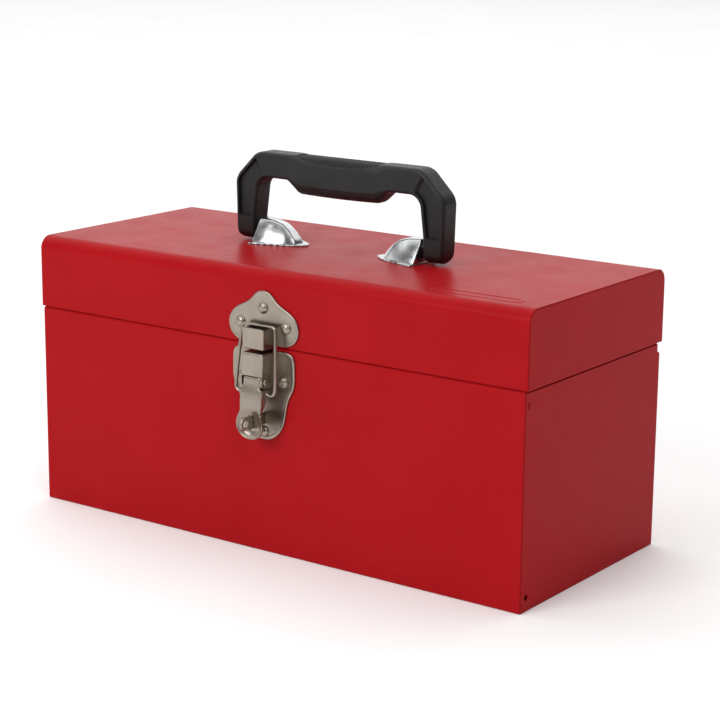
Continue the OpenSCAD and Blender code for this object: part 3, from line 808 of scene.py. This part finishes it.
def make_staple():
    """Flat staple standing out of the base plate, with the padlock's eye in its rounded end."""
    eye = next(m for m in frame["record"]["mounts"] if m["name"] == "padlock_eye")
    centre = (eye["pos_m"][1] / MM, eye["pos_m"][2] / MM)
    hole, half_thick = eye["dims"]["r_mm"], eye["dims"]["length_mm"] / 2
    reach = centre[0] - corners("latch_staple")[0].y
    back = PLATE_FRONT + 0.3 - centre[0]
    edge_r = 0.4
    turns = [math.tau * i / 72 for i in range(72)]
    rim = []
    for turn in turns:
        along, across = math.cos(turn), max(abs(math.sin(turn)), 0.01)
        rim.append(reach if along <= 0 else min(back / along, reach / across))
    # Rounded edge: how far out the face is, and how far the edge stands back
    edge = [(half_thick - edge_r + edge_r * math.sin(a), edge_r - edge_r * math.cos(a))
            for a in (math.radians(d) for d in (0, 30, 60, 90))]
    rising = [(-x, out) for x, out in reversed(edge)] + edge
    rows = [[(x, *around(centre, hole + out, turn)) for turn in turns] for x, out in rising]
    for x, out in reversed(rising):
        rows.append([(x, *around(centre, r - out, turn)) for turn, r in zip(turns, rim)])
    add("latch_staple_eye", loft(rows + rows[:1]), "box_body", "nickel", ["latch_staple"], 35)


def lever_section(down, values, span):
    """Half of the lever's section at a distance below the pivot, from its wall's edge to the middle line."""
    reach_out, half, wall, dish, rim = values
    slot_top, slot_end, round_start, round_end = span
    slot_half = 1.8
    inside = min(down - slot_top, slot_end - down)
    slot = math.sqrt(max(0.0, 1 - (1 - min(1.0, inside / slot_half)) ** 2)) if inside >= 0 else 0.5
    slot = min(slot_half * max(0.3, slot), half * 0.3)
    tip = max(0.0, (down - round_start) / (round_end - round_start))
    full, half = half, half * math.sqrt(1 - tip * tip)
    bend = min(1.5, wall * 0.8, half * 0.5)
    flat = half - bend
    side = [(half, wall), (half, wall * 0.6 + bend * 0.4)]
    side += [around((flat, bend), bend, -math.radians(a)) for a in (0, 22, 45, 67, 90)]
    side += [(slot + (flat - slot) * f, 0.0) for f in (0.86, 0.72, 0.56, 0.4, 0.2, 0.0)] + [(0.0, 0.0)]
    points = []
    for x, depth in side:
        edge = math.hypot(x / full, tip)
        bowl = dish * (1 - edge ** 2)
        lip = rim * smoothstep((edge - 0.7) / 0.3)
        points.append((x, BOX_FRONT - 0.1 - reach_out + depth + bowl - lip, THROW.z - down))
    return points


def make_lever():
    """Channel lever: a tongue between the ears, side walls, and a dished oval tip with the staple's slot."""
    # Down the lever: distance below the pivot, outward reach of the face, half width, wall depth, dish, rim
    stations = [(-3.1, -0.6, 7.3, 1.2, 0, 0), (-2.4, -0.15, 7.4, 2.2, 0, 0), (-0.9, 0.0, 7.4, 4.0, 0, 0),
                (0.3, 0.1, 7.4, 5.5, 0, 0), (2.5, 0.35, 7.4, 6.6, 0, 0), (4.5, 0.7, 7.4, 7.0, 0, 0),
                (5.0, 0.8, 9.0, 7.1, 0, 0), (8.0, 1.3, 9.1, 7.1, 0, 0), (12.0, 1.7, 9.1, 6.4, 0, 0),
                (15.5, 1.9, 9.1, 5.2, 0.05, 0), (18.0, 2.0, 8.9, 3.8, 0.25, 0.2),
                (20.5, 2.0, 8.9, 2.2, 0.9, 0.5), (23.0, 1.95, 9.7, 1.1, 1.7, 0.9),
                (26.0, 1.8, 10.6, 0.7, 2.3, 1.2), (29.3, 1.6, 11.0, 0.6, 2.5, 1.3),
                (38.6, 1.1, 11.0, 0.4, 2.5, 1.3)]
    slot_top, slot_end, round_start, round_end = span = (21.7, 33.7, 29.3, 38.6)
    ends = [0.0, 0.25, 0.7, 1.3, 1.9]
    downs = spaced(stations[0][0], 4.6, 0.7) + [4.95] + spaced(5.6, slot_top - 0.6, 0.8)
    downs += [slot_top + d for d in ends] + spaced(slot_top + 2.7, slot_end - 2.7, 0.8)
    downs += [slot_end - d for d in reversed(ends)]
    downs += [round_start + (round_end - round_start) * math.sin(math.radians(a)) for a in spaced(32, 80, 4)]
    rows = []
    for down in downs:
        values = [follow([(s[0], s[k]) for s in stations], down) for k in range(1, 6)]
        right = lever_section(down, values, span)
        rows.append([(-x, y, z) for x, y, z in right] + right[-2::-1])
    verts, faces = loft(rows, closed=False)
    count, middle = len(rows[0]), len(rows[0]) // 2
    first, last = downs.index(slot_top), downs.index(slot_end)
    faces = [f for f in faces if not (first <= f[0] // count < last and f[0] % count in (middle - 1, middle))]
    piece = add("latch_lever_spoon", (verts, faces), "lever", "nickel", ["latch_lever"], 50)
    face_front(piece)
    thicken(piece, 1.1, False)
    settle(piece, 40)
    bevelled(piece, 0.25, 2, 50)


def make_bail():
    """The bent wire, splayed a little towards its hooked ends."""
    half = [(6.9, 0.1), (8.9, 0.0), (10.7, -0.8), (12.5, -1.1), (14.8, -0.4), (16.0, 1.6), (16.3, 5.0),
            (15.7, 16.0), (14.9, 28.0), (14.0, 39.6), (13.75, 42.0), (12.9, 43.6), (11.2, BAIL_REACH),
            (7.5, BAIL_REACH), (2.5, BAIL_REACH)]
    full = half + [(-x, up) for x, up in reversed(half)]
    path = smooth_path([(x, SWING.y + up * math.sin(BAIL_TILT), SWING.z + up * math.cos(BAIL_TILT))
                        for x, up in full], 5)
    add("latch_bail_wire", tube(path, 1.18), "bail", "nickel", ["latch_bail"], 60)


# ---------------------------------------------------------------- handle
def leg_outer(z):
    """The leg's outer face, a little wider at the chamfer than at the foot."""
    return HANDLE_HALF - LEG_TAPER * (1 - min(1.0, (z - LEG_BOTTOM) / (HANDLE_TOP - CHAMFER - LEG_BOTTOM)))


def leg_inner(z):
    """The leg's inner face, straight at the pivot and then leaning inwards."""
    start = PIVOT.z + 6
    return OPENING_HALF - OPENING_TAPER * max(0.0, min(1.0, (z - start) / (ARCH_TOP - CORNER_R - start)))


def foot_sections():
    """The leg's foot, rounded about the pivot."""
    out = []
    for a in (80, 70, 60, 50, 40, 30, 18, 8):
        z = PIVOT.z - FOOT_R * math.sin(math.radians(a))
        half = min(LEG_THICK, FOOT_R * math.cos(math.radians(a)) + 0.2)
        pull = 3.2 * (1 - math.cos(math.radians(a)))
        out.append(((leg_outer(z) - pull, z), (OPENING_HALF + 0.35 * pull, z), half))
    return out


def corner_sections():
    """The corner: the outer point climbs the chamfer while the inner one runs round the arc."""
    steps = 26
    arc_x, arc_z = OPENING_HALF - OPENING_TAPER - CORNER_R, ARCH_TOP - CORNER_R
    chamfer_z = HANDLE_TOP - CHAMFER
    climb_start, climb_end, run_on = 0.14, 0.86, 6.4
    turn_r = 13.0
    drop = turn_r * math.tan(math.radians(22.5))
    low_turn = Vector((HANDLE_HALF - turn_r, chamfer_z - drop))
    high_turn = Vector((HANDLE_HALF - CHAMFER - drop, HANDLE_TOP - turn_r))
    out = []
    for i in range(steps + 1):
        t = i / steps
        if t < climb_start:
            z = arc_z + (chamfer_z - arc_z) * t / climb_start
            outer = (leg_outer(z), z)
        elif t < climb_end:
            f = (t - climb_start) / (climb_end - climb_start)
            outer = (HANDLE_HALF - CHAMFER * f, chamfer_z + CHAMFER * f)
        else:
            f = (t - climb_end) / (1 - climb_end)
            outer = (HANDLE_HALF - CHAMFER - run_on * f, HANDLE_TOP)
        for turn, start in ((low_turn, 0), (high_turn, 45)):
            reach = Vector(outer) - turn
            if start < math.degrees(math.atan2(reach.y, reach.x)) < start + 45 and reach.length > turn_r:
                outer = tuple(turn + reach.normalized() * turn_r)
        out.append((outer, around((arc_x, arc_z), CORNER_R, math.radians(90 * t)), LEG_THICK))
    return out


def grip_sections():
    """Bridge and grip, with a fine pitch over the ribs."""
    grip_start, grip_end, extra = 42.0, 33.0, 1.45
    start = OPENING_HALF - OPENING_TAPER - CORNER_R - 1.2
    out = []
    for x in spaced(start, 37.5, 1.6) + spaced(37, 0, 0.42):
        t = smoothstep((grip_start + 1.5 - x) / (grip_start - grip_end + 3))
        sag = 0.6 * (1 - (x / grip_end) ** 2) if x < grip_end else 0
        z = ARCH_TOP + (GRIP_BOTTOM + 0.6 - ARCH_TOP) * t - sag
        out.append(((x, HANDLE_TOP), (x, z), LEG_THICK + extra * t))
    return out


def handle_sections():
    """Sections from the right leg's foot to the middle: outer point, inner point, half thickness."""
    near_floor = [PIVOT.z + 1.5, PIVOT.z + 4] + [POCKET_FLOOR + d for d in (-0.7, 0, 0.45, 1.1)]
    heights = near_floor + spaced(POCKET_FLOOR + 4, ARCH_TOP - CORNER_R - 0.5, 3.2)
    legs = [((leg_outer(z), z), (leg_inner(z), z), LEG_THICK) for z in heights]
    return foot_sections() + legs + corner_sections() + grip_sections()


def handle_ring(outer, inner, half, pocket):
    """One closed ring round a section, from the middle of its outer side and back."""
    start = Vector(outer)
    run = Vector(inner) - start
    length, along = run.length, run.normalized()
    grip = smoothstep((half - LEG_THICK) / 1.4)
    outer_r = min(2.6 + 3.2 * grip, half * 0.9)
    inner_r = min(2.0 + 5.0 * grip, half * 0.9)
    rim, wall = 2.5, 0.5
    points = [(0.0, 0.0), (0.0, -(half - outer_r) * 0.5), (0.0, -(half - outer_r))]
    points += [around((outer_r, -(half - outer_r)), outer_r, math.radians(180 + a)) for a in spaced(6, 90, 6)]
    edge_a, edge_b = max(outer_r + 0.2, rim), length - max(inner_r + 0.2, rim + 0.3)
    # The flank: down the pocket's wall, across its floor and up again
    flank = [(edge_a, 0), (edge_a + wall * 0.35, 0.25), (edge_a + wall, 1), ((edge_a + edge_b) / 2, 1),
             (edge_b - wall, 1), (edge_b - wall * 0.35, 0.25), (edge_b, 0)]
    for u, deep in flank:
        swell = 0.15 * grip * math.sin(math.pi * u / length)
        points.append((u, -half + pocket * deep - swell))
    points += [around((length - inner_r, -(half - inner_r)), inner_r, math.radians(a - 90))
               for a in (0, 18, 36, 54, 72, 90)]
    points += [(length, -(half - inner_r) * 0.5), (length, 0.0)]
    ring = []
    for u, y in points + [(u, -y) for u, y in reversed(points[1:-1])]:
        place = start + along * u
        ring.append(Vector((place.x, y, place.y)))
    return ring


def rib_cut(x, z):
    """How far the ribbed oval on the grip's top sinks below the smooth surface."""
    pitch, floor_depth, rib_depth, oval_depth = 2.1, 0.35, 0.75, 4.9
    if abs(x) >= RIB_HALF:
        return 0.0
    reach = oval_depth * math.sqrt(1 - (x / RIB_HALF) ** 2)
    inside = smoothstep((z - (HANDLE_TOP - reach)) / 0.45)
    return inside * (floor_depth + rib_depth * (0.5 - 0.5 * math.cos(math.tau * x / pitch)))


def make_handle():
    """Moulded handle: legs and corners with recessed panels, and a thicker grip with a ribbed oval."""
    pocket_depth, pocket_end, rib_axis = 2.6, 66.5, HANDLE_TOP - 9
    right = []
    for outer, inner, half in handle_sections():
        middle = (outer[0] + inner[0]) / 2
        fade = smoothstep((middle - pocket_end) / 2.0) if outer[1] > HANDLE_TOP - CHAMFER else 1.0
        pocket = pocket_depth * smoothstep((min(outer[1], inner[1]) - POCKET_FLOOR) / 0.8) * fade
        sunk = []
        for p in handle_ring(outer, inner, half, pocket):
            depth = rib_cut(p.x, p.z)
            if depth:
                p = p + Vector((0, -p.y, rib_axis - p.z)).normalized() * depth
            sunk.append(tuple(p))
        right.append(sunk)
    left = [[(-x, y, z) for x, y, z in row] for row in reversed(right[:-1])]
    part = loft(right + left, capped=True)
    add("handle_moulding", part, "handle", "black_plastic", ["handle_grip"], 38)


def flange_outline():
    """The right bracket's flange, seen from above, with small notches along its slanting edges."""
    tip_x, tip_r = 36.6, 6.1
    notch_x, notch_pitch, notch_r = 41.5, 4.6, 1.5
    half = [(tip_x - tip_r * math.cos(math.radians(a)), tip_r * math.sin(math.radians(a)))
            for a in spaced(0, 62, 8)]
    edge = [(36, 6.8), (41, 11.2), (55, 15.8), (64, 18.8), (68.6, 19)]
    for x in spaced(tip_x, 67.4, 0.35):
        (x0, y0), (x1, y1) = next((p, q) for p, q in zip(edge, edge[1:]) if x <= q[0])
        y = y0 + (y1 - y0) * (x - x0) / (x1 - x0)
        near = min(abs(x - (notch_x + notch_pitch * i)) for i in range(6))
        half.append((x, y - math.sqrt(max(0.0, notch_r ** 2 - near * near))))
    half += [(68.3, 18.9), (68.6, 18.5)]
    return half + [(x, -y) for x, y in reversed(half[1:])]


def clinched_tab(side, way):
    """A tab that passes down through the lid and its backing plate and is bent over below."""
    base, low = LID_TOP, LID_TOP - 3.2
    section = [(0.7, base + 0.6), (0.7, low + 1.2), (3.2, low + 1.2), (3.2, low + 0.1), (0.4, low),
               (-0.4, low + 0.3), (-0.7, low + 0.9), (-0.7, base + 0.6)]
    rows = [[(side * x, way * (6 + y * pinch), z) for y, z in section]
            for x, pinch in ((54.0, 0.8), (54.25, 1), (61.75, 1), (62.0, 0.8))]
    return loft(rows, capped=True)


def make_bracket(side, name):
    """Faceted chrome hood on a notched flange. side is 1 for the right bracket."""
    # Corners of the hood: x, half width, height above the lid
    hood = [(68.6, 15, 0.5), (68.6, 5, 17.2), (57.0, 4.1, 16.3), (49.5, 3.7, 14.2), (43.6, 3.8, 9.9),
            (39.4, 4.2, 5.0), (43.5, 9.9, 0.5), (36.6, 4.4, 0.5)]
    work = bmesh.new()
    for x, y, z in hood:
        for way in (1, -1):
            work.verts.new((side * x * MM, way * y * MM, (LID_TOP + z) * MM))
    bmesh.ops.convex_hull(work, input=work.verts)
    bmesh.ops.dissolve_limit(work, angle_limit=math.radians(2), verts=work.verts, edges=work.edges)
    shell = from_work("handle_hood_" + name, work)
    bevelled(shell, 1.3, 4, 12)
    settle(shell, 40)
    outline = flange_outline()
    rings = [(0.3, 0.0), (0, 0.12), (0, 0.8), (0.1, 1.03), (0.3, 1.17), (0.55, 1.2)]
    rows = [[(side * x, y, LID_TOP + z) for x, y in inset(outline, distance)] for distance, z in rings]
    verts, faces = join(loft(rows, capped=True), clinched_tab(side, -1), clinched_tab(side, 1))
    work = bmesh.new()
    work.from_mesh(shell.data)
    made = [work.verts.new([c * MM for c in v]) for v in verts]
    new_faces = [work.faces.new([made[i] for i in face]) for face in faces]
    bmesh.ops.recalc_face_normals(work, faces=new_faces)
    work.to_mesh(shell.data)
    work.free()
    smooth(shell, 40)
    label(shell, "lid", "bracket_chrome", ["handle_bracket_" + name])


# ---------------------------------------------------------------- CAD nodes that stay
def finish_cad():
    """Gives the CAD nodes that stay their material and soft edges of a given width."""
    kept = {"red_paint": {"tray_rest_left": 0.3, "tray_rest_right": 0.3, "hinge_leaf_body": 0.2,
                          "hinge_leaf_lid": 0.2, "tray_pan": 0.25, "tray_strap": 0.4, "tray_dividers": 0.25},
            "zinc_steel": {"hinge_pin": 0.2, "handle_backing_plate": 0.3, "handle_pin_left": 0.3,
                           "handle_pin_right": 0.3, "tray_rivets": 0.3}}
    for slot, widths in kept.items():
        for name, width in widths.items():
            node = frame["nodes"][name]
            node.data.materials.clear()
            node.data.materials.append(SLOTS[slot])
            weld = node.modifiers.new("weld", "WELD")
            weld.merge_threshold = 0.002 * MM
            flat = node.modifiers.new("flat", "DECIMATE")
            flat.decimate_type = "DISSOLVE"
            flat.angle_limit = math.radians(1)
            bevelled(node, width, 2, 35)


# ---------------------------------------------------------------- stage
def area_light(name, place, target, size, power):
    """A rectangular light aimed at a target, with places and sizes in metres."""
    data = bpy.data.lights.new(name, "AREA")
    data.shape = "RECTANGLE"
    data.size, data.size_y = size
    data.energy = power
    light = bpy.data.objects.new(name, data)
    light.location = place
    light.rotation_mode = "QUATERNION"
    light.rotation_quaternion = (Vector(target) - Vector(place)).to_track_quat("-Z", "Y")
    scene.collection.objects.link(light)


def make_stage():
    """White floor, a pale surround and three soft lights."""
    reach = 14000
    rows = [[(x, -reach, 0), (x, reach, 0)] for x in (-reach, reach)]
    floor = from_points("floor", *loft(rows, closed=False))
    floor.data.materials.append(floor_paper())
    make_surround()
    scene.view_settings.view_transform = "Standard"
    area_light("key", (-0.5, -2.1, 1.3), (0, 0, 0.1), (1.3, 1.1), 30)
    area_light("side", (1.7, -1.35, 1.9), (0, 0, 0.1), (0.7, 0.9), 9)
    area_light("top", (-2.0, 2.7, 4.5), (-2.0, 2.7, 0), (12, 11.4), 535)


def ramp(tree, source, start, end, low, high):
    """A smooth step from low to high as the source goes from start to end."""
    node = tree.nodes.new("ShaderNodeMapRange")
    node.interpolation_type = "SMOOTHSTEP"
    for socket, value in (("From Min", start), ("From Max", end), ("To Min", low), ("To Max", high)):
        node.inputs[socket].default_value = value
    tree.links.new(source, node.inputs["Value"])
    return node.outputs["Result"]


def make_surround():
    """A white wall behind and on the left, dimmer above it and in the rest of the room."""
    world = bpy.data.worlds.new("studio")
    world.use_nodes = True
    tree = world.node_tree
    background = tree.nodes["Background"]
    background.inputs["Color"].default_value = (1, 1, 1, 1)
    place = tree.nodes.new("ShaderNodeTexCoord")
    toward = tree.nodes.new("ShaderNodeVectorMath")
    toward.operation = "DOT_PRODUCT"
    toward.inputs[1].default_value = (-0.80, 0.55, 0.0)
    tree.links.new(place.outputs["Generated"], toward.inputs[0])
    height = tree.nodes.new("ShaderNodeSeparateXYZ")
    tree.links.new(place.outputs["Generated"], height.inputs["Vector"])
    sides = ramp(tree, toward.outputs["Value"], 0.05, 0.7, 0.20, 1.22)
    above = ramp(tree, height.outputs["Z"], 0.24, 0.38, 1.0, 0.35)
    both = tree.nodes.new("ShaderNodeMath")
    both.operation = "MULTIPLY"
    tree.links.new(sides, both.inputs[0])
    tree.links.new(above, both.inputs[1])
    tree.links.new(both.outputs["Value"], background.inputs["Strength"])
    scene.world = world


make_camera()
make_lid_shell()
make_body_shell()
make_body_ends()
make_lid_ends()
make_keeper()
make_base()
make_pivot_pin()
make_staple()
make_lever()
make_bail()
make_handle()
make_bracket(1, "right")
make_bracket(-1, "left")
finish_cad()
make_stage()
